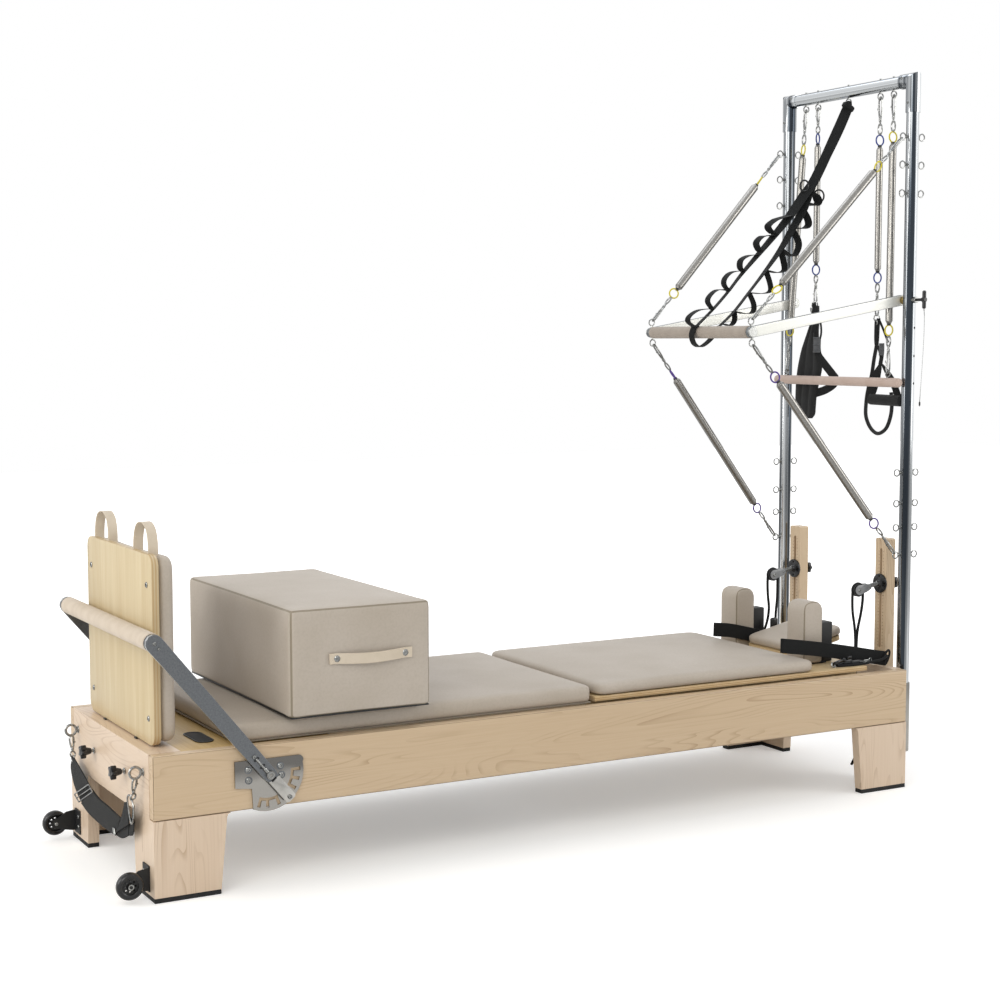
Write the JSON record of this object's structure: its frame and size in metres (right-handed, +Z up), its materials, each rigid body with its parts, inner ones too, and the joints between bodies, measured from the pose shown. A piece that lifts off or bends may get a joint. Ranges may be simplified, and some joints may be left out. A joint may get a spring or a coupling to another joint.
{
  "type": "pilates reformer with tower",
  "caption": "Wooden pilates reformer with carriage, footbar, jump board, sitting box, mat, pulley risers and a steel tower with push-through bar, springs and straps.",
  "frame": {"origin": "middle of the footprint on the floor, wheels and knobs included", "axes": "+Z up; +X from the foot end to the tower; -Y is the side with the pull pin"},
  "size_m": [2.5096, 0.754, 2.1329],
  "materials": {
    "maple": "satin lacquered maple",
    "birch_ply": "satin lacquered birch plywood",
    "black_rubber": "matt",
    "tracks": "anodised",
    "zinc_steel": "brushed",
    "chrome_tube": "polished",
    "bar_aluminium": "satin",
    "dark_steel": "satin grey paint",
    "bar_foam": "soft vinyl sleeve",
    "vinyl": "grained upholstery vinyl over foam",
    "spring_steel": "drawn wire",
    "black_webbing": "woven",
    "rope": "braided",
    "black_plastic": "moulded"
  },
  "bodies": {
    "frame": {"near_side_rail": "maple", "far_side_rail": "maple", "foot_end_frame": "maple", "head_end_frame": "maple", "near_foot_end_foot": "black_rubber", "far_foot_end_foot": "black_rubber", "near_head_end_foot": "black_rubber", "far_head_end_foot": "black_rubber", "foot_platform": "birch_ply", "track_frame": "tracks", "near_gear_plate": "zinc_steel", "far_gear_plate": "zinc_steel", "near_pulley_riser": "maple", "far_pulley_riser": "maple", "near_post": "chrome_tube", "far_post": "chrome_tube", "top_bar": "chrome_tube", "near_caster_bracket": "black_plastic", "far_caster_bracket": "black_plastic", "near_upper_spring": "spring_steel", "far_upper_spring": "spring_steel", "near_lower_spring": "spring_steel", "far_lower_spring": "spring_steel", "near_roll_down_spring": "spring_steel", "far_roll_down_spring": "spring_steel", "near_handle_spring": "spring_steel", "far_handle_spring": "spring_steel", "ladder_strap": "black_webbing", "near_rope": "rope", "far_rope": "rope"},
    "carriage": {"carriage_deck": "birch_ply", "carriage_springs": "spring_steel", "carriage_pad": "vinyl", "near_loop_strap": "black_webbing", "far_loop_strap": "black_webbing"},
    "foot_side_wheels": {"foot_side_axle": "black_plastic"},
    "tower_side_wheels": {"tower_side_axle": "black_plastic"},
    "near_shoulder_rest": {"near_shoulder_rest": "vinyl"},
    "far_shoulder_rest": {"far_shoulder_rest": "vinyl"},
    "headrest": {"headrest": "vinyl"},
    "conversion_mat": {"conversion_mat": "vinyl"},
    "sitting_box": {"sitting_box": "vinyl"},
    "jump_board": {"jump_board": "birch_ply", "jump_pad": "vinyl"},
    "footbar": {"footbar_frame": "dark_steel", "footbar_grip": "bar_foam"},
    "near_caster": {"near_caster_wheel": "black_plastic"},
    "far_caster": {"far_caster_wheel": "black_plastic"},
    "near_star_knob": {"near_star_knob": "black_plastic"},
    "far_star_knob": {"far_star_knob": "black_plastic"},
    "carry_strap": {"carry_strap": "black_webbing"},
    "near_pulley": {"near_pulley_mount": "black_plastic"},
    "far_pulley": {"far_pulley_mount": "black_plastic"},
    "near_sheave": {"near_pulley_wheel": "black_plastic"},
    "far_sheave": {"far_pulley_wheel": "black_plastic"},
    "push_through_bar": {"push_through_bar": "bar_aluminium"},
    "roll_down_bar": {"roll_down_bar": "bar_foam"},
    "thigh_strap": {"thigh_strap": "black_webbing"},
    "grip_handle": {"grip_handle": "black_webbing"},
    "pull_pin": {"pull_pin": "black_plastic"}
  },
  "joints": [
    {"name": "carriage_slide", "type": "slide", "parent": "frame", "child": "carriage", "axis": [1, 0, 0], "range_m": [-0.006, 0.02]},
    {"name": "foot_side_wheel_spin", "type": "hinge", "parent": "carriage", "child": "foot_side_wheels", "pos_m": [0.22875, 0, 0.3253], "axis": [0, 1, 0], "continuous": true},
    {"name": "tower_side_wheel_spin", "type": "hinge", "parent": "carriage", "child": "tower_side_wheels", "pos_m": [0.92875, 0, 0.3253], "axis": [0, 1, 0], "continuous": true},
    {"name": "near_shoulder_rest_lift", "type": "slide", "parent": "carriage", "child": "near_shoulder_rest", "axis": [0, 0, 1], "range_m": [0, 0.1]},
    {"name": "far_shoulder_rest_lift", "type": "slide", "parent": "carriage", "child": "far_shoulder_rest", "axis": [0, 0, 1], "range_m": [0, 0.1]},
    {"name": "headrest_tilt", "type": "hinge", "parent": "carriage", "child": "headrest", "pos_m": [0.92375, 0, 0.379], "axis": [0, 1, 0], "range_deg": [-18, 11.5]},
    {"name": "mat_lift", "type": "slide", "parent": "frame", "child": "conversion_mat", "axis": [0, 0, 1], "range_m": [0, 0.25]},
    {"name": "box_lift", "type": "slide", "parent": "conversion_mat", "child": "sitting_box", "axis": [0, 0, 1], "range_m": [0, 0.3]},
    {"name": "jump_board_lift", "type": "slide", "parent": "frame", "child": "jump_board", "axis": [0, 0, 1], "range_m": [0, 0.15]},
    {"name": "footbar_hinge", "type": "hinge", "parent": "frame", "child": "footbar", "pos_m": [-0.87525, 0, 0.287], "axis": [0, 1, 0], "range_deg": [-50, 0]},
    {"name": "near_caster_spin", "type": "hinge", "parent": "frame", "child": "near_caster", "pos_m": [-1.22125, -0.329, 0.047], "axis": [0, 1, 0], "continuous": true},
    {"name": "far_caster_spin", "type": "hinge", "parent": "frame", "child": "far_caster", "pos_m": [-1.22125, 0.329, 0.047], "axis": [0, 1, 0], "continuous": true},
    {"name": "near_knob_turn", "type": "hinge", "parent": "frame", "child": "near_star_knob", "pos_m": [-1.18625, -0.13, 0.28], "axis": [1, 0, 0], "continuous": true},
    {"name": "far_knob_turn", "type": "hinge", "parent": "frame", "child": "far_star_knob", "pos_m": [-1.18625, 0.13, 0.28], "axis": [1, 0, 0], "continuous": true},
    {"name": "carry_strap_swing", "type": "hinge", "parent": "frame", "child": "carry_strap", "pos_m": [-1.18625, 0, 0.308], "axis": [0, 1, 0], "range_deg": [0, 60]},
    {"name": "near_pulley_height", "type": "slide", "parent": "frame", "child": "near_pulley", "axis": [0, 0, 1], "range_m": [-0.15, 0.1], "deforming": ["near_rope"]},
    {"name": "far_pulley_height", "type": "slide", "parent": "frame", "child": "far_pulley", "axis": [0, 0, 1], "range_m": [-0.15, 0.1], "deforming": ["far_rope"]},
    {"name": "near_sheave_spin", "type": "hinge", "parent": "near_pulley", "child": "near_sheave", "pos_m": [1.10575, -0.21, 0.59], "axis": [0, 1, 0], "continuous": true},
    {"name": "far_sheave_spin", "type": "hinge", "parent": "far_pulley", "child": "far_sheave", "pos_m": [1.10575, 0.21, 0.59], "axis": [0, 1, 0], "continuous": true},
    {"name": "push_through_swing", "type": "hinge", "parent": "frame", "child": "push_through_bar", "pos_m": [1.21575, 0, 1.467], "axis": [0, 1, 0], "range_deg": [-25, 25], "stiffness_Nm_per_rad": 120, "springref_deg": 5.39, "deforming": ["near_upper_spring", "far_upper_spring", "near_lower_spring", "far_lower_spring", "ladder_strap"]},
    {"name": "roll_down_pull", "type": "slide", "parent": "frame", "child": "roll_down_bar", "axis": [0, 0, 1], "range_m": [-0.22, 0], "stiffness_N_per_m": 250, "springref_m": 0.08, "deforming": ["near_roll_down_spring", "far_roll_down_spring"]},
    {"name": "thigh_strap_pull", "type": "slide", "parent": "frame", "child": "thigh_strap", "axis": [0, 0, 1], "range_m": [-0.2, 0], "stiffness_N_per_m": 100, "springref_m": 0.08, "deforming": ["far_handle_spring"]},
    {"name": "grip_handle_pull", "type": "slide", "parent": "frame", "child": "grip_handle", "axis": [0, 0, 1], "range_m": [-0.2, 0], "stiffness_N_per_m": 100, "springref_m": 0.08, "deforming": ["near_handle_spring"]},
    {"name": "pull_pin_travel", "type": "slide", "parent": "frame", "child": "pull_pin", "axis": [0, -1, 0], "range_m": [0, 0.012], "stiffness_N_per_m": 500, "springref_m": -0.006}
  ],
  "couplings": [
    {"joint": "foot_side_wheel_spin", "follows": "carriage_slide", "rad_per_m": 50},
    {"joint": "tower_side_wheel_spin", "follows": "carriage_slide", "rad_per_m": 50}
  ]
}
